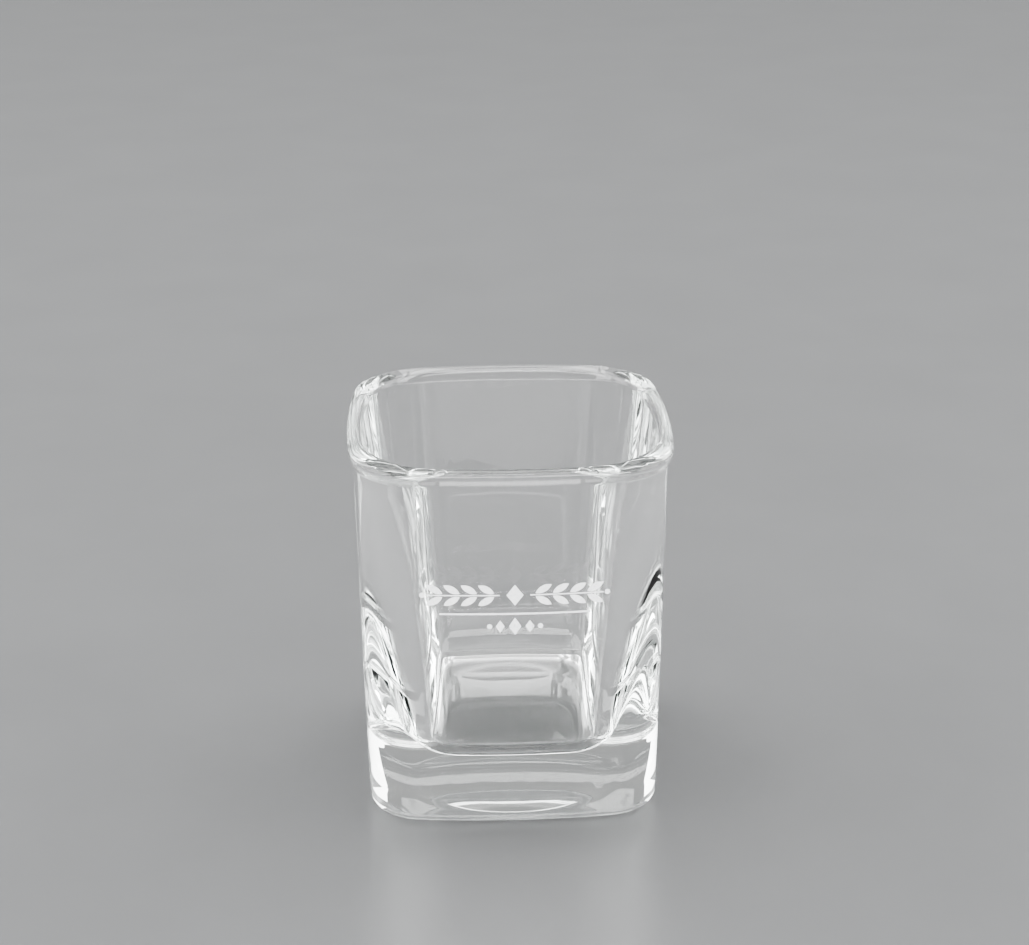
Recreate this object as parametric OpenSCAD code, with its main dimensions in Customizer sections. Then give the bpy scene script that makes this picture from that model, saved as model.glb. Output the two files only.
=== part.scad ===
// Square pressed-glass shot glass with a heavy base and a fired-on print.
// The vessel is a square with gently bowed sides and round corners, wider at
// the rim than at the foot. Origin: centre of the resting face, +Z up, with
// the printed face towards -Y.

/* [Outside] */
// Overall height
height = 60; // [50:1:70]
// Width across the flats at the widest point of the rim
rim_w = 50.6; // [46:0.2:54]
// Width across the flats just above the foot's round
foot_w = 47.2; // [42:0.2:48]
// Corner radius, in plan, just above the foot's round
foot_corner_r = 8.4; // [6:0.2:10]
// Radius of the bow of each side, in plan, just above the foot
bow_r = 140; // [90:10:200]
// Round between the sides and the resting face
foot_round = 1.8; // [1:0.1:2.5]

/* [Rim] */
// How far the lip stands out past the wall below it
lip_out = 0.75; // [0.4:0.05:1.2]
// Height of the lip, from where the wall starts to turn out
lip_h = 2.8; // [2.5:0.1:4.5]
// How much rounder the lip's corners are, in plan, than the wall's below them
lip_corner_gain = 1; // [0:0.1:1.5]
// Half of the rim's thickness at the middle of a side, and the height of its round top
rim_round = 1.05; // [0.9:0.05:1.3]

/* [Cavity] */
// Thickness of the heavy base under the cavity
floor_t = 8.5; // [7:0.5:13]
// Width of the cavity where the walls would meet the floor with no fillet
floor_w = 31; // [30:0.2:38]
// Radius of the bow of each side of the cavity, in plan
cavity_bow_r = 97; // [80:1:200]
// Corner radius of the cavity at the rim, in plan
mouth_corner_r = 15; // [8:0.1:16]
// Corner radius of the cavity at the floor, in plan, before the fillet
floor_corner_r = 6; // [3.8:0.1:8]
// Fillet between the cavity's walls and its floor
floor_fillet = 5; // [3:0.5:5.2]

/* [Foot recess] */
// Diameter of the shallow round recess under the base
recess_d = 34; // [28:1:38]
// Depth of the recess at its centre
recess_depth = 0.7; // [0.4:0.1:1]

/* [Print] */
// Thickness of the fired-on ink
ink_t = 0.04; // [0.03:0.01:0.1]
// Height of the upper band's middle line above the table
band_z = 39.8; // [32:0.1:44]
// Height of the rule above the table
rule_z = 36.7; // [30:0.1:42]
// Length of the rule
rule_len = 22.8; // [16:0.2:26]
// Height of the lower row's middle line above the table
row_z = 34.6; // [28:0.1:40]

/* [Hidden] */

// Facets in plan: steps along one side and round one corner.
side_steps = 6;
corner_steps = 9;
ring_n = 4 * (side_steps + corner_steps);
// Steps round each arc of the wall's section.
arc_steps = 5;

// The wall's section: half widths and heights.
rim_half = rim_w / 2;
foot_half = foot_w / 2;
wall_top_half = rim_half - lip_out;
lip_z = height - lip_h;
rim_mid = rim_half - rim_round;      // middle of the rim's thickness
rim_z = height - rim_round;          // centre of the rim's round top
mouth_half = rim_mid - rim_round;
floor_half = floor_w / 2;
// Draft of each wall, as half width gained for each millimetre of height.
wall_draft = (wall_top_half - foot_half) / (lip_z - foot_round);
cavity_draft = (mouth_half - floor_half) / (rim_z - floor_t);
// The fillet meets the leaning wall a little under a quarter turn.
fillet_turn = 90 - atan(cavity_draft);
// How much the cavity's corner tightens for each millimetre the fillet comes in.
fillet_tightening = 0.5;

// The print's ornaments. Lozenges are [width, height].
big_lozenge = [2.6, 3.5];
mid_lozenge = [1.9, 3];
small_lozenge = [1.4, 2.1];
leaf_len = 2.8;
leaf_w = 1.1;
leaf_lean = 30;       // angle between a leaf and the stem
leaf_lift = 0.26;     // from the stem's middle line to a leaf's stalk end
leaf_pitch = 2.6;
leaf_pairs = 4;
first_leaf = 3.1;       // from the face's middle to the first pair's stalks
stem_h = 0.22;
stem_gap = 0.8;       // bare glass before the first leaf that the stem covers
dot_r = 0.42;
dot_gap = 0.18;       // bare glass between the stem and its tip dot
tip_gap = 0.45;       // from the last pair's pitch to the middle of the tip dot
tip_dot_x = first_leaf + leaf_pairs * leaf_pitch + tip_gap;
small_lozenge_x = 2.25;
row_dot_x = 3.85;
rule_h = 0.3;
print_margin = 3;     // wall kept above and below the print's middle lines

glass_tint = [0.86, 0.93, 0.91, 0.45];
ink_white = [0.86, 0.87, 0.87];

// Distance of a corner arc's centre from each axis, for a plan of half width a
// with corners of radius r tangent to sides of radius b.
function corner_at(a, r, b) = (a - b + sqrt(2 * pow(b - r, 2) - pow(b - a, 2))) / 2;

// One level of the plan, anticlockwise from the left end of the -Y side.
function plan(a, r, b, z) =
    let (
        c = corner_at(a, r, b),
        half_turn = atan2(c, c + b - a)
    )
    [
        for (quarter = [0 : 3])
            let (cs = cos(90 * quarter), sn = sin(90 * quarter))
            for (p = concat(
                [for (i = [0 : side_steps - 1])
                    let (t = half_turn * (2 * i / side_steps - 1))
                    [b * sin(t), b - a - b * cos(t)]],
                [for (i = [0 : corner_steps - 1])
                    let (t = half_turn + (90 - 2 * half_turn) * i / corner_steps)
                    [c + r * sin(t), -c - r * cos(t)]]
            ))
                [p.x * cs - p.y * sn, p.x * sn + p.y * cs, z]
    ];

// A level of the outside: every one is the foot's plan, grown by the same
// amount all round, so the walls between two levels are flat facets. Only the
// lip's corners are rounder than that, by extra.
function outside(a, z, extra = 0) =
    let (grown = a - foot_half)
    plan(a, foot_corner_r + grown + extra, bow_r + grown, z);

// A level of the cavity: its corners get tighter towards the floor.
function inside(a, z) =
    let (
        share = (a - floor_half) / (mouth_half - floor_half),
        r = a >= floor_half
            ? floor_corner_r + share * (mouth_corner_r - floor_corner_r)
            : floor_corner_r + fillet_tightening * (a - floor_half)
    )
    plan(a, r, cavity_bow_r, z);

// A level part of the way from level a to level b.
function between(a, b, share) = [for (i = [0 : ring_n - 1]) a[i] * (1 - share) + b[i] * share];

// The closed skin of the vessel, from the resting face up the outside, over
// the rim and down the cavity to its floor.
vessel_levels = concat(
    // foot's round
    [for (i = [0 : arc_steps])
        let (t = 90 * i / arc_steps)
        outside(foot_half - foot_round * (1 - sin(t)), foot_round * (1 - cos(t)))],
    // lip: a cove that turns the wall outwards, up to the rim's widest level
    [for (i = [0 : arc_steps])
        let (s = i / arc_steps)
        outside(
            wall_top_half + lip_out * (1 - cos(180 * s)) / 2,
            lip_z + s * (rim_z - lip_z),
            s * lip_corner_gain
        )],
    // rim's round top, which passes from the outside's plan to the cavity's
    [for (i = [1 : 2 * arc_steps - 1])
        let (t = 180 * i / (2 * arc_steps), a = rim_mid + rim_round * cos(t), z = rim_z + rim_round * sin(t))
        between(outside(a, z, lip_corner_gain), inside(a, z), (1 - cos(t)) / 2)],
    // cavity wall
    [inside(mouth_half, rim_z)],
    // fillet, from its end on the wall to its end on the floor
    [for (i = [0 : arc_steps])
        let (
            t = fillet_turn * (1 - i / arc_steps),
            reach = floor_fillet * tan(fillet_turn / 2)
        )
        inside(floor_half - reach + floor_fillet * sin(t), floor_t + floor_fillet * (1 - cos(t)))]
);

// A closed solid through levels that all have ring_n points, capped flat at
// its first and last level.
module skin_through(levels) {
    last = len(levels) - 1;
    polyhedron(
        points = [for (level = levels) for (p = level) p],
        faces = concat(
            [[for (i = [0 : ring_n - 1]) i]],
            [for (k = [0 : last - 1]) for (i = [0 : ring_n - 1])
                let (j = (i + 1) % ring_n, low = k * ring_n, high = low + ring_n)
                each [[low + i, high + i, high + j], [low + i, high + j, low + j]]],
            [[for (i = [ring_n - 1 : -1 : 0]) last * ring_n + i]]
        ),
        convexity = 6
    );
}

// The shallow dished recess, which leaves a flat resting face around it.
module foot_recess() {
    dish_r = (pow(recess_d / 2, 2) + pow(recess_depth, 2)) / (2 * recess_depth);
    translate([0, 0, recess_depth - dish_r]) sphere(r = dish_r, $fn = 256);
}

module glass_body() {
    color(glass_tint)
    difference() {
        skin_through(vessel_levels);
        foot_recess();
    }
}

// The straight part of the wall's outside between two heights, grown by grow.
module wall_block(grow) {
    bottom = min(row_z, rule_z, band_z) - print_margin;
    top = max(row_z, rule_z, band_z) + print_margin;
    skin_through([
        for (z = [bottom, top]) outside(foot_half + grow + wall_draft * (z - foot_round), z)
    ]);
}

// Ink in the shape of the 2D children, x across the face and y up it, laid on
// the -Y face of the wall.
module ink() {
    color(ink_white)
    intersection() {
        rotate([90, 0, 0]) linear_extrude(height = rim_w) children();
        difference() {
            wall_block(ink_t);
            wall_block(0);
        }
    }
}

module lozenge(size) {
    polygon([[size.x / 2, 0], [0, size.y / 2], [-size.x / 2, 0], [0, -size.y / 2]]);
}

// A pointed leaf along +x, the overlap of two equal circles.
module leaf(length, width) {
    r = (pow(length, 2) + pow(width, 2)) / (4 * width);
    intersection() {
        translate([0, r - width / 2]) circle(r = r, $fn = 96);
        translate([0, width / 2 - r]) circle(r = r, $fn = 96);
    }
}

// A stem along +x with pairs of leaves that open outwards, and a dot at the tip.
module spray() {
    stem_x = first_leaf - stem_gap;
    stem_len = tip_dot_x - dot_r - dot_gap - stem_x;
    translate([stem_x, -stem_h / 2]) square([stem_len, stem_h]);
    for (i = [0 : leaf_pairs - 1], up = [-1, 1])
        translate([first_leaf + i * leaf_pitch, up * leaf_lift])
        rotate(up * leaf_lean) leaf(leaf_len, leaf_w);
    translate([tip_dot_x, 0]) circle(r = dot_r, $fn = 32);
}

module print_centre_lozenge() {
    ink() translate([0, band_z]) lozenge(big_lozenge);
}

module print_left_spray() {
    ink() translate([0, band_z]) mirror([1, 0]) spray();
}

module print_right_spray() {
    ink() translate([0, band_z]) spray();
}

module print_rule() {
    ink() translate([-rule_len / 2, rule_z - rule_h / 2]) square([rule_len, rule_h]);
}

module print_lower_row() {
    ink() translate([0, row_z]) {
        lozenge(mid_lozenge);
        for (side = [-1, 1]) {
            translate([side * small_lozenge_x, 0]) lozenge(small_lozenge);
            translate([side * row_dot_x, 0]) circle(r = dot_r, $fn = 32);
        }
    }
}

glass_body();
print_centre_lozenge();
print_left_spray();
print_right_spray();
print_rule();
print_lower_row();
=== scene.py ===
# %% [markdown]
# # A square shot glass
# This notebook dresses the plain CAD frame of a small drinking glass for its picture. The real
# one is a single gob of soda-lime glass, pressed between a mould and a plunger and then polished
# by flame, with a pale ornament fired on one face. Every size is read from the frame or named in
# millimetres, so that the picture and the CAD model can't drift apart.

# %% Load the frame
import math
import bmesh
import bpy
from mathutils import Matrix, Vector, noise
from mathutils.bvhtree import BVHTree


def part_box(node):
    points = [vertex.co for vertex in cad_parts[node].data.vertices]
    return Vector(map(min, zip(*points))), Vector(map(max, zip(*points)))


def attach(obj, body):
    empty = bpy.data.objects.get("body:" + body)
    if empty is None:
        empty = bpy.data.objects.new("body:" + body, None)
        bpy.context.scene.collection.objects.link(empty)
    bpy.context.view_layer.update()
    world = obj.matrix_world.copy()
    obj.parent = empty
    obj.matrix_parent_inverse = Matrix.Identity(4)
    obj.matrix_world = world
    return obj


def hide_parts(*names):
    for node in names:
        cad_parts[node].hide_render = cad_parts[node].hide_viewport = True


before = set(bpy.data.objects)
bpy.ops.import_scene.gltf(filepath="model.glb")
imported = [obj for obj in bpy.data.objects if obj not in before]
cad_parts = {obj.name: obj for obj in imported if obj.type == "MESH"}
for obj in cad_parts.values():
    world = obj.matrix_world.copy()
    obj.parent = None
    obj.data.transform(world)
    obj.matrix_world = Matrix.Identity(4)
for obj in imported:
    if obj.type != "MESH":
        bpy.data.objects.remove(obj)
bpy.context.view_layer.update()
scene = bpy.context.scene
mm = 0.001

# %% [markdown]
# ## The camera
# A glass is judged by how it bends what is behind it, so the viewpoint is settled before any
# shape. A long lens from a third of a metre away, looking down by 21 degrees, shows the rim as a
# thin loop and still looks through the front wall to the cavity's floor. The glass stands turned
# by about two degrees. Its frame has to stay square, so the camera goes round instead.

# %% Place the camera
_, glass_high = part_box("glass_body")
height = glass_high.z
rim_half = glass_high.x
CAMERA_DISTANCE = 343 * mm
CAMERA_ELEVATION = math.radians(21.35)
CAMERA_TURN = math.radians(-2.2)
CAMERA_ROLL = math.radians(-0.25)
CAMERA_LENS = 75.6
CAMERA_AIM_X = 0.94 * mm
CAMERA_AIM_HEIGHT = 0.835  # share of the glass's height


def place_camera():
    aim = Vector((CAMERA_AIM_X, 0, CAMERA_AIM_HEIGHT * height))
    away = Vector((0, -math.cos(CAMERA_ELEVATION), math.sin(CAMERA_ELEVATION)))
    turn = Matrix.Rotation(CAMERA_TURN, 3, "Z")
    data = bpy.data.cameras.new("camera")
    data.lens = CAMERA_LENS
    data.sensor_width = 36
    data.clip_start = 10 * mm
    data.clip_end = 50
    camera = bpy.data.objects.new("camera", data)
    scene.collection.objects.link(camera)
    camera.location = turn @ (aim + away * CAMERA_DISTANCE)
    facing = (turn @ -away).to_track_quat("-Z", "Y").to_matrix()
    camera.rotation_euler = (facing @ Matrix.Rotation(CAMERA_ROLL, 3, "Z")).to_euler()
    scene.camera = camera
    return camera


camera = place_camera()
print("camera at mm:", [round(c / mm, 1) for c in camera.location])

# %% [markdown]
# ## The plan of the glass
# Seen from above, the glass is a square whose sides bow outwards a little and whose corners are
# round. It could be a cube with bevelled edges, but then the bow and the corner would not meet
# smoothly, and bent reflections would show it. Arcs that share a tangent do meet smoothly: one
# large arc for each side, and one small arc for each corner. Only the half width, the corner's
# radius and the bow's radius are needed to place both.

# %% Points round the plan
SIDE_STEPS = 22
CORNER_STEPS = 20
RING_STEPS = 4 * (SIDE_STEPS + CORNER_STEPS)


def plan_point(step, half, corner_r, bow_r):
    """A point of the plan: steps run anticlockwise from the left end of the front side."""
    bow_centre = bow_r - half
    corner = (-bow_centre + math.sqrt(2 * (bow_r - corner_r) ** 2 - bow_centre ** 2)) / 2
    half_turn = math.atan2(corner, corner + bow_centre)
    quarter, along = divmod(step % RING_STEPS, SIDE_STEPS + CORNER_STEPS)
    if along < SIDE_STEPS:
        angle = half_turn * (2 * along / SIDE_STEPS - 1)
        x = bow_r * math.sin(angle)
        y = bow_centre - bow_r * math.cos(angle)
    else:
        share = (along - SIDE_STEPS) / CORNER_STEPS
        angle = half_turn + (math.pi / 2 - 2 * half_turn) * share
        x = corner + corner_r * math.sin(angle)
        y = -corner - corner_r * math.cos(angle)
    return Matrix.Rotation(quarter * math.pi / 2, 2) @ Vector((x, y))


print("points in each ring:", RING_STEPS)

# %% [markdown]
# ## The section of the wall
# The glass is a skin of closed rings. It starts under the foot, goes up the outside, rolls over
# the lip and comes down the cavity to its floor. A plain spin can't make it, because it isn't
# round, so each ring is extruded from the one before and then laid on its own plan. The outside
# keeps one draft from foot to lip. The mouth's corners are much rounder than the outside's, which
# makes the rim thick there, and the cavity's corners tighten on the way down, as on the tapered
# plunger that pressed them.

# %% Sizes of the section
FOOT_SHARE = 0.9328  # foot's width as a share of the rim's
foot_half = FOOT_SHARE * rim_half
foot_corner_r = 8.4 * mm
foot_bow_r = 140 * mm
foot_round = 1.8 * mm
lip_out = 0.75 * mm
lip_corner_gain = 1 * mm
lip_start = height - 2.8 * mm
rim_round = 1.05 * mm
rim_centre = rim_half - rim_round
rim_top = height - rim_round
mouth_half = rim_centre - rim_round
cavity_bow_r = 97 * mm
mouth_corner_r = 15 * mm
floor_height = 8.5 * mm
floor_half = 15.5 * mm
floor_corner_r = 6 * mm
fillet_tightening = 0.5
floor_fillet = 5 * mm
floor_dish = 0.35 * mm
recess_r = 17 * mm
recess_depth = 0.7 * mm
SMALLEST_RING = 0.03  # share of the full size at which a dish is closed with one face
print("lip starts at mm:", round(lip_start / mm, 2))

# %% Rings of the outside, the lip and the cavity
RECESS_RINGS = 22
RESTING_RINGS = 6
FOOT_ROUND_RINGS = 12
WALL_RINGS = 30
LIP_RINGS = 34
RIM_RINGS = 20
CAVITY_RINGS = 34
FILLET_RINGS = 16
FLOOR_RINGS = 20


def outside_ring(half, z, extra_r=0):
    grown = half - foot_half
    corner_r = foot_corner_r + grown + extra_r
    points = [plan_point(i, half, corner_r, foot_bow_r + grown) for i in range(RING_STEPS)]
    return [Vector((p.x, p.y, z)) for p in points]


def inside_ring(half, z):
    if half >= floor_half:
        share = (half - floor_half) / (mouth_half - floor_half)
        corner_r = floor_corner_r + share * (mouth_corner_r - floor_corner_r)
    else:
        corner_r = floor_corner_r + fillet_tightening * (half - floor_half)
    points = [plan_point(i, half, corner_r, cavity_bow_r) for i in range(RING_STEPS)]
    return [Vector((p.x, p.y, z)) for p in points]


def circle_ring(radius, z, like):
    return [Vector((*(p.xy.normalized() * radius), z)) for p in like]


def blend_rings(a, b, share):
    return [p.lerp(q, share) for p, q in zip(a, b)]


def shares(steps, start=0):
    return [i / steps for i in range(start, steps + 1)]


# %% The list of rings, in the order they are extruded


def foot_rings():
    edge = outside_ring(foot_half - foot_round, 0)
    bulge_r = (recess_r ** 2 + recess_depth ** 2) / (2 * recess_depth)
    for share in shares(RECESS_RINGS):
        radius = recess_r * max(SMALLEST_RING, share)
        depth = recess_depth - bulge_r + math.sqrt(bulge_r ** 2 - radius ** 2)
        yield circle_ring(radius, depth, edge)
    flat_start = circle_ring(recess_r, 0, edge)
    for share in shares(RESTING_RINGS, 1):
        yield blend_rings(flat_start, edge, share)
    for share in shares(FOOT_ROUND_RINGS, 1):
        angle = share * math.pi / 2
        yield outside_ring(
            foot_half - foot_round * (1 - math.sin(angle)), foot_round * (1 - math.cos(angle))
        )


def wall_rings():
    wall_top = rim_half - lip_out
    for share in shares(WALL_RINGS, 1):
        z = foot_round + share * (lip_start - foot_round)
        yield outside_ring(foot_half + share * (wall_top - foot_half), z)
    for share in shares(LIP_RINGS, 1):
        z = lip_start + share * (rim_top - lip_start)
        flare = lip_out * (1 - math.cos(share * math.pi)) / 2
        yield outside_ring(wall_top + flare, z, share * lip_corner_gain)


def rim_rings():
    for share in shares(RIM_RINGS, 1):
        angle = share * math.pi
        half = rim_centre + rim_round * math.cos(angle)
        z = rim_top + rim_round * math.sin(angle)
        outer = outside_ring(half, z, lip_corner_gain)
        yield blend_rings(outer, inside_ring(half, z), (1 - math.cos(angle)) / 2)


def cavity_rings():
    draft = (mouth_half - floor_half) / (rim_top - floor_height)
    fillet_turn = math.pi / 2 - math.atan(draft)
    reach = floor_fillet * math.tan(fillet_turn / 2)
    fillet_half = floor_half - reach + floor_fillet * math.sin(fillet_turn)
    fillet_z = floor_height + floor_fillet * (1 - math.cos(fillet_turn))
    for share in shares(CAVITY_RINGS, 1):
        half = mouth_half + share * (fillet_half - mouth_half)
        yield inside_ring(half, rim_top + share * (fillet_z - rim_top))
    for share in shares(FILLET_RINGS, 1):
        angle = fillet_turn * (1 - share)
        half = floor_half - reach + floor_fillet * math.sin(angle)
        floor_edge = inside_ring(half, floor_height + floor_fillet * (1 - math.cos(angle)))
        yield floor_edge
    for share in shares(FLOOR_RINGS, 1):
        scale = max(SMALLEST_RING, 1 - share)
        sink = floor_dish * (1 - scale ** 2)
        yield [Vector((p.x * scale, p.y * scale, p.z - sink)) for p in floor_edge]


glass_rings = [*foot_rings(), *wall_rings(), *rim_rings(), *cavity_rings()]
print("rings:", len(glass_rings))

# %% [markdown]
# ## Pressing the glass
# A mould and a plunger leave a surface that is smooth but never quite true: it swells and sinks
# by a few hundredths of a millimetre, and this is what makes a pressed glass shimmer where a
# turned one looks dead. The rings are extruded first, and then every point moves a little into
# the glass, by a slow noise. It only ever moves inwards, so the outside keeps its size.

# %% Extrude the rings
WAVE_DEPTH = 0.03 * mm
WAVE_LENGTH = 16 * mm
WAVE_START = 3 * mm  # height by which the waves have their full depth, so that the foot stays flat


def lay_ring(verts, points):
    for vert, point in zip(verts, points):
        vert.co = point


def above(vert, fresh):
    """The new vertex that was extruded from this one."""
    return next(e.other_vert(vert) for e in vert.link_edges if e.other_vert(vert) in fresh)


def extrude_rings(bm, rings):
    first = bmesh.ops.create_circle(bm, cap_ends=False, segments=RING_STEPS, radius=mm)["verts"]
    ring = sorted(first, key=lambda v: v.index)
    lay_ring(ring, rings[0])
    edges = list(bm.edges)
    bmesh.ops.contextual_create(bm, geom=edges)
    for points in rings[1:]:
        grown = bmesh.ops.extrude_edge_only(bm, edges=edges)["geom"]
        edges = [g for g in grown if isinstance(g, bmesh.types.BMEdge)]
        fresh = {g for g in grown if isinstance(g, bmesh.types.BMVert)}
        ring = [above(vert, fresh) for vert in ring]
        edges = [e for e in edges if e.verts[0] in fresh and e.verts[1] in fresh]
        lay_ring(ring, points)
    bmesh.ops.contextual_create(bm, geom=edges)
    bmesh.ops.recalc_face_normals(bm, faces=bm.faces)


def press_waves(bm):
    bm.normal_update()
    moves = []
    for vert in bm.verts:
        level = 0.5 + 0.5 * noise.noise(vert.co / WAVE_LENGTH)
        above_foot = min(1, vert.co.z / WAVE_START)
        moves.append(vert.normal * -WAVE_DEPTH * level * above_foot)
    for vert, move in zip(bm.verts, moves):
        vert.co += move


def finish_piece(name, bm, material_slot, *nodes, smooth=False):
    for face in bm.faces:
        face.smooth = smooth
    mesh = bpy.data.meshes.new(name)
    bm.to_mesh(mesh)
    bm.free()
    piece = bpy.data.objects.new(name, mesh)
    scene.collection.objects.link(piece)
    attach(piece, "root")
    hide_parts(*nodes)
    print(name, len(mesh.vertices), "vertices")
    return piece


# %% The vessel


def make_vessel():
    bm = bmesh.new()
    extrude_rings(bm, glass_rings)
    press_waves(bm)
    return finish_piece("vessel", bm, "clear_glass", "glass_body", smooth=True)


vessel = make_vessel()

# %% [markdown]
# ## The ornament
# The print is ceramic ink, pushed through a fine mesh and fired until it melts into the glass. It
# is about half as thick as a hair. It could be painted on with a mask in the glass's material, but
# real ink has its own body: it casts a faint shadow on the far wall and shows from behind. So each
# motif is a flat outline, given its thickness and pressed onto the wall, with its back just under
# the surface. Its faces stay flat, because smooth shading would make thin ink look like a pillow.

# %% Press a flat shape onto the front wall
ink_front = 0.03 * mm
ink_back = 0.02 * mm
EDGE_WANDER = 0.018 * mm
EDGE_GRAIN = 0.35 * mm
WANDER_SEED = 3
noise.seed_set(WANDER_SEED)  # without it, the edge would wander differently in each run


def wall_surface(piece):
    bm = bmesh.new()
    bm.from_mesh(piece.data)
    tree = BVHTree.FromBMesh(bm)
    bm.free()
    return tree


front_wall = wall_surface(vessel)


def press_on_wall(bm):
    """Turns flat shapes, x across and y up, into ink on the front wall."""
    for vert in bm.verts:
        wander = noise.noise_vector(Vector((vert.co.x, vert.co.y, 0)) / EDGE_GRAIN)
        vert.co.x += wander.x * EDGE_WANDER
        vert.co.y += wander.y * EDGE_WANDER
    grown = bmesh.ops.extrude_face_region(bm, geom=list(bm.faces), use_keep_orig=True)["geom"]
    fronts = {g for g in grown if isinstance(g, bmesh.types.BMVert)}
    for vert in bm.verts:
        start = Vector((vert.co.x, -2 * rim_half, vert.co.y))
        hit, normal, _, _ = front_wall.ray_cast(start, Vector((0, 1, 0)))
        vert.co = hit + normal * (ink_front if vert in fronts else -ink_back)
    bmesh.ops.recalc_face_normals(bm, faces=bm.faces)


# %% Motifs
band_height = 39.8 * mm
rule_height = 36.7 * mm
row_height = 34.6 * mm
leaf_length = 2.8 * mm
leaf_width = 1.1 * mm
leaf_lean = math.radians(30)
leaf_lift = 0.26 * mm
leaf_pitch = 2.6 * mm
leaf_pairs = 4
first_leaf = 3.1 * mm
stem_width = 0.22 * mm
stem_gap = 0.8 * mm
dot_r = 0.42 * mm
dot_gap = 0.18 * mm
tip_gap = 0.45 * mm
tip_dot_x = first_leaf + leaf_pairs * leaf_pitch + tip_gap
rule_length = 22.8 * mm
rule_width = 0.3 * mm
small_lozenge_x = 2.25 * mm
row_dot_x = 3.85 * mm
BIG_LOZENGE = (2.6 * mm, 3.5 * mm)
MID_LOZENGE = (1.9 * mm, 3.0 * mm)
SMALL_LOZENGE = (1.4 * mm, 2.1 * mm)
POINT_ROUND = 0.07 * mm
LINE_STEP = 0.25 * mm
LEAF_STEPS = 48
DOT_STEPS = 28


def add_lozenge(bm, x, y, size):
    width, tall = size
    made = bmesh.ops.create_circle(bm, cap_ends=True, segments=4, radius=1)["verts"]
    bmesh.ops.scale(bm, vec=Vector((width / 2, tall / 2, 1)), verts=made)
    corners = bmesh.ops.bevel(
        bm, geom=made, offset=POINT_ROUND, offset_type="OFFSET", segments=3, profile=0.5,
        affect="VERTICES", material=-1,
    )["verts"]
    bmesh.ops.translate(bm, vec=Vector((x, y, 0)), verts=corners)


def add_leaf(bm, x, y, lean):
    """A pointed oval between two equal arcs, with its stalk end at x, y."""
    made = bmesh.ops.create_circle(bm, cap_ends=True, segments=LEAF_STEPS, radius=1)["verts"]
    arc_r = (leaf_length ** 2 + leaf_width ** 2) / (4 * leaf_width)
    for vert in made:
        along = vert.co.x * leaf_length / 2
        rise = math.sqrt(arc_r ** 2 - along ** 2) - (arc_r - leaf_width / 2)
        vert.co = Vector((along + leaf_length / 2, math.copysign(max(0, rise), vert.co.y), 0))
    bmesh.ops.rotate(bm, cent=Vector(), matrix=Matrix.Rotation(lean, 3, "Z"), verts=made)
    bmesh.ops.translate(bm, vec=Vector((x, y, 0)), verts=made)


def add_line(bm, start, end, y, width):
    """A level line, in short lengths so that it can follow the bowed wall."""
    place = Matrix.Translation(((start + end) / 2, y, 0))
    shape = Matrix.Diagonal(((end - start) / 2, width / 2, 1, 1))
    lengths = round((end - start) / LINE_STEP)
    bmesh.ops.create_grid(bm, x_segments=lengths, y_segments=1, size=1, matrix=place @ shape)


def add_dot(bm, x, y):
    spot = Matrix.Translation((x, y, 0))
    bmesh.ops.create_circle(bm, cap_ends=True, segments=DOT_STEPS, radius=dot_r, matrix=spot)


# %% The five areas of ink


def make_spray(name, node, side):
    bm = bmesh.new()
    for pair in range(leaf_pairs):
        for up in (-1, 1):
            add_leaf(bm, first_leaf + pair * leaf_pitch, up * leaf_lift, up * leaf_lean)
    add_line(bm, first_leaf - stem_gap, tip_dot_x - dot_r - dot_gap, 0, stem_width)
    add_dot(bm, tip_dot_x, 0)
    bmesh.ops.remove_doubles(bm, verts=bm.verts, dist=0.001 * mm)
    bmesh.ops.scale(bm, vec=Vector((side, 1, 1)), verts=bm.verts)
    bmesh.ops.translate(bm, vec=Vector((0, band_height, 0)), verts=bm.verts)
    press_on_wall(bm)
    return finish_piece(name, bm, "print_ink", node)


def make_centre_lozenge():
    bm = bmesh.new()
    add_lozenge(bm, 0, band_height, BIG_LOZENGE)
    press_on_wall(bm)
    return finish_piece("centre_lozenge", bm, "print_ink", "print_centre_lozenge")


def make_rule():
    bm = bmesh.new()
    add_line(bm, -rule_length / 2, rule_length / 2, rule_height, rule_width)
    press_on_wall(bm)
    return finish_piece("rule", bm, "print_ink", "print_rule")


def make_lower_row():
    bm = bmesh.new()
    add_lozenge(bm, 0, row_height, MID_LOZENGE)
    for side in (-1, 1):
        add_lozenge(bm, side * small_lozenge_x, row_height, SMALL_LOZENGE)
        add_dot(bm, side * row_dot_x, row_height)
    press_on_wall(bm)
    return finish_piece("lower_row", bm, "print_ink", "print_lower_row")


print_pieces = [
    make_spray("left_spray", "print_left_spray", -1),
    make_spray("right_spray", "print_right_spray", 1),
    make_centre_lozenge(),
    make_rule(),
    make_lower_row(),
]

# %% [markdown]
# ## Writing shader maths as sums
# A node tree built call by call hides its meaning. A small class that holds one socket and knows
# how to add and multiply lets a roughness be written as a line of arithmetic, and each sign leaves
# one Math node behind.

# %% A socket that does arithmetic


class Wire:
    def __init__(self, tree, socket):
        self.tree = tree
        self.socket = socket

    def maths(self, operation, other):
        return self.tree.add("ShaderNodeMath", {"operation": operation}, {0: self, 1: other})

    def __add__(self, other):
        return self.maths("ADD", other)

    def __mul__(self, other):
        return self.maths("MULTIPLY", other)

    __radd__ = __add__
    __rmul__ = __mul__


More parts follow.
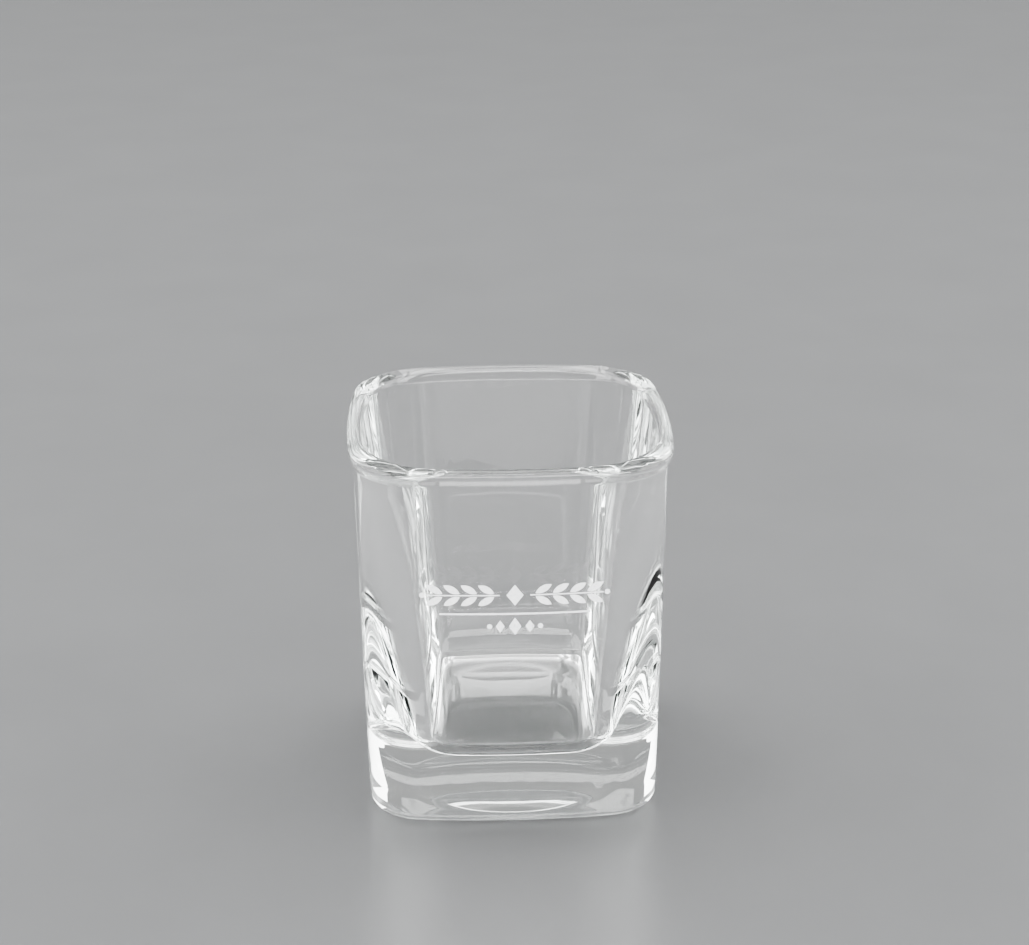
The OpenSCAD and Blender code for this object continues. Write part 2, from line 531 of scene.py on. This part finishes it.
class Shader:
    def __init__(self, owner):
        owner.use_nodes = True
        self.nodes = owner.node_tree.nodes
        self.links = owner.node_tree.links
        self.nodes.clear()

    def put(self, node, inputs):
        for key, value in inputs.items():
            if isinstance(value, Wire):
                self.links.new(value.socket, node.inputs[key])
            else:
                node.inputs[key].default_value = value

    def add(self, kind, settings=None, inputs=None, out=0):
        """Adds one node: its settings first, then the values or wires of its sockets."""
        node = self.nodes.new(kind)
        for key, value in (settings or {}).items():
            if key == "stops":
                lay_stops(node.color_ramp, value)
            else:
                setattr(node, key, value)
        self.put(node, inputs or {})
        return None if out is None else Wire(self, node.outputs[out])


def lay_stops(ramp, stops):
    while len(ramp.elements) < len(stops):
        ramp.elements.new(0.5)
    for element, (place, level) in zip(ramp.elements, stops):
        element.position = place
        element.color = (*level, 1) if isinstance(level, tuple) else (level, level, level, 1)


def noise_wire(shader, where, scale, detail, roughness):
    return shader.add(
        "ShaderNodeTexNoise", {},
        {"Vector": where, "Scale": scale, "Detail": detail, "Roughness": roughness},
    )


# %% [markdown]
# ## Clear glass
# Soda-lime glass is colourless in a thin wall and faintly green through a thick one. That depth of
# colour comes from the body of the glass and not its skin, so the skin is white and a volume
# takes the light away. What the skin does carry is handling: a breath of smudge that lifts the
# roughness in places, and fine ripples from the mould, too slight to model.

# %% The glass material
GLASS_IOR = 1.52
GLASS_BODY = (0.80, 0.93, 0.86, 1)
GLASS_BODY_DENSITY = 2.6
POLISHED = 0.004  # roughness where nobody has touched it
SMUDGED = 0.03  # roughness that a full smudge adds
SMUDGE_SCALE = 90.0
RIPPLE_SCALE = 160.0
RIPPLE_HEIGHT = 0.02 * mm
RIPPLE_STRENGTH = 0.03


def clear_glass():
    material = bpy.data.materials.new("clear_glass")
    shader = Shader(material)
    where = shader.add("ShaderNodeTexCoord", out="Object")
    smudge = noise_wire(shader, where, SMUDGE_SCALE, detail=4.0, roughness=0.6)
    smear = shader.add(
        "ShaderNodeValToRGB", {"stops": [(0.5, 0.0), (0.75, 1.0)]}, {"Fac": smudge}
    )
    roughness = smear * SMUDGED + POLISHED
    ripples = noise_wire(shader, where, RIPPLE_SCALE, detail=1.0, roughness=0.4)
    bump = shader.add(
        "ShaderNodeBump", {}, {
            "Strength": RIPPLE_STRENGTH, "Distance": RIPPLE_HEIGHT, "Height": ripples,
        },
    )
    skin = shader.add(
        "ShaderNodeBsdfPrincipled", {}, {
            "Base Color": (1, 1, 1, 1), "Transmission Weight": 1.0, "IOR": GLASS_IOR,
            "Roughness": roughness, "Normal": bump,
        },
    )
    body = shader.add(
        "ShaderNodeVolumeAbsorption", {}, {"Color": GLASS_BODY, "Density": GLASS_BODY_DENSITY}
    )
    shader.add("ShaderNodeOutputMaterial", {}, {"Surface": skin, "Volume": body}, out=None)
    return material


vessel.data.materials.append(clear_glass())
print("glass bends light by", GLASS_IOR, "and its body lets through", GLASS_BODY[:3])

# %% [markdown]
# ## Fired ink
# Ceramic ink fires to a pale, slightly chalky grey-white. One flat colour would do from across a
# room, but close up the ink isn't solid: the printing mesh leaves it uneven, with pinholes where
# the glass shows through. One fine noise drives the colour, the pinholes and the bump, so that a
# pinhole is also a dip in the surface, and a slower noise clouds the colour.

# %% The ink material
INK_THIN = (0.72, 0.73, 0.74)
INK_DENSE = (0.87, 0.875, 0.88)
INK_ROUGHNESS = 0.45  # where the grain is lowest
GRAIN_ROUGHNESS = 0.25  # roughness that full grain adds
GRAIN_SHARE = 0.65  # of the unevenness in colour; the rest is cloud
INK_IOR = 1.5
PINHOLE_ALPHA = 0.35
GRAIN_SCALE = 3200.0
CLOUD_SCALE = 420.0
GRAIN_HEIGHT = 0.01 * mm
GRAIN_STRENGTH = 0.3


def fired_ink():
    material = bpy.data.materials.new("fired_ink")
    shader = Shader(material)
    where = shader.add("ShaderNodeTexCoord", out="Object")
    grain = noise_wire(shader, where, GRAIN_SCALE, detail=3.0, roughness=0.6)
    cloud = noise_wire(shader, where, CLOUD_SCALE, detail=2.0, roughness=0.5)
    level = grain * GRAIN_SHARE + cloud * (1 - GRAIN_SHARE)
    colour = shader.add(
        "ShaderNodeValToRGB", {"stops": [(0.32, INK_THIN), (0.6, INK_DENSE)]}, {"Fac": level}
    )
    pinholes = shader.add(
        "ShaderNodeValToRGB", {"stops": [(0.24, PINHOLE_ALPHA), (0.34, 1.0)]}, {"Fac": grain}
    )
    bump = shader.add(
        "ShaderNodeBump", {}, {
            "Strength": GRAIN_STRENGTH, "Distance": GRAIN_HEIGHT, "Height": grain,
        },
    )
    skin = shader.add(
        "ShaderNodeBsdfPrincipled", {}, {
            "Base Color": colour, "Roughness": INK_ROUGHNESS + grain * GRAIN_ROUGHNESS,
            "IOR": INK_IOR, "Alpha": pinholes, "Normal": bump,
        },
    )
    shader.add("ShaderNodeOutputMaterial", {}, {"Surface": skin}, out=None)
    return material


ink = fired_ink()
for piece in print_pieces:
    piece.data.materials.append(ink)
print("ink on:", [piece.name for piece in print_pieces])

# %% [markdown]
# ## Floor and light
# Clear glass shows only what is around it. A pale floor fills it with light, so its edges need
# something darker to bend into view, and its rim something brighter. The sky is therefore dim
# most of the way up and bright overhead, wide soft lights stand on both sides, and a small one
# hangs over the rim. A low one in front lights the ink.

# %% Floor
FLOOR_RADIUS = 4.0
FLOOR_STEPS = 96
FLOOR_GAP = 0.04 * mm  # keeps the floor from sharing a plane with the glass's resting face
FLOOR_DARK = (0.150, 0.152, 0.154)
FLOOR_LIGHT = (0.158, 0.160, 0.162)
FLOOR_ROUGHNESS = 0.36
MOTTLE_SCALE = 30.0


def make_floor():
    bm = bmesh.new()
    bmesh.ops.create_circle(bm, cap_ends=True, segments=FLOOR_STEPS, radius=FLOOR_RADIUS)
    mesh = bpy.data.meshes.new("floor")
    bm.to_mesh(mesh)
    bm.free()
    mesh.transform(Matrix.Translation((0, 0, -FLOOR_GAP)))
    floor = bpy.data.objects.new("floor", mesh)
    scene.collection.objects.link(floor)
    material = bpy.data.materials.new("floor")
    shader = Shader(material)
    where = shader.add("ShaderNodeTexCoord", out="Object")
    mottle = noise_wire(shader, where, MOTTLE_SCALE, detail=5.0, roughness=0.6)
    colour = shader.add(
        "ShaderNodeValToRGB", {"stops": [(0.3, FLOOR_DARK), (0.7, FLOOR_LIGHT)]}, {"Fac": mottle}
    )
    skin = shader.add(
        "ShaderNodeBsdfPrincipled", {}, {"Base Color": colour, "Roughness": FLOOR_ROUGHNESS}
    )
    shader.add("ShaderNodeOutputMaterial", {}, {"Surface": skin}, out=None)
    mesh.materials.append(material)
    return floor


floor = make_floor()
print("floor at mm:", round(floor.data.vertices[0].co.z / mm, 3))

# %% Sky
SKY_STOPS = [  # sine of the height in the sky, and the colour there
    (0.0, (0.48, 0.485, 0.49)),
    (0.3, (0.34, 0.343, 0.347)),
    (0.6, (0.42, 0.42, 0.42)),
    (0.95, (1, 1, 1)),
]
SKY_STRENGTH = 0.9
LIGHT_BOUNCES = 28
MIRROR_BOUNCES = 16


def make_sky():
    world = bpy.data.worlds.new("sky")
    scene.world = world
    shader = Shader(world)
    where = shader.add("ShaderNodeTexCoord", out="Generated")
    up = shader.add("ShaderNodeSeparateXYZ", {}, {"Vector": where}, out="Z")
    colour = shader.add("ShaderNodeValToRGB", {"stops": SKY_STOPS}, {"Fac": up})
    light = shader.add("ShaderNodeBackground", {}, {"Color": colour, "Strength": SKY_STRENGTH})
    shader.add("ShaderNodeOutputWorld", {}, {"Surface": light}, out=None)


make_sky()
scene.view_settings.look = "AgX - High Contrast"
scene.cycles.max_bounces = LIGHT_BOUNCES
scene.cycles.transmission_bounces = LIGHT_BOUNCES
scene.cycles.glossy_bounces = MIRROR_BOUNCES
print("sky:", scene.world.name, "and look:", scene.view_settings.look)

# %% Soft lights


def soft_light(name, place, width, tall, power):
    data = bpy.data.lights.new(name, "AREA")
    data.shape = "RECTANGLE"
    data.size = width
    data.size_y = tall
    data.energy = power
    light = bpy.data.objects.new(name, data)
    scene.collection.objects.link(light)
    light.location = place
    to_glass = Vector((0, 0, height / 2)) - Vector(place)
    light.rotation_euler = to_glass.to_track_quat("-Z", "Y").to_euler()
    light.visible_camera = False
    print(name, "watts:", power)


soft_light("left_softbox", (-2.4, 0.4, 1.3), width=4.8, tall=2.4, power=140)
soft_light("right_softbox", (2.4, 0.4, 1.3), width=4.8, tall=2.4, power=118)
soft_light("overhead_softbox", (0.0, 0.2, 0.75), width=0.7, tall=0.5, power=3.6)
soft_light("front_fill", (0.0, -2.25, 0.54), width=4.2, tall=0.9, power=84)
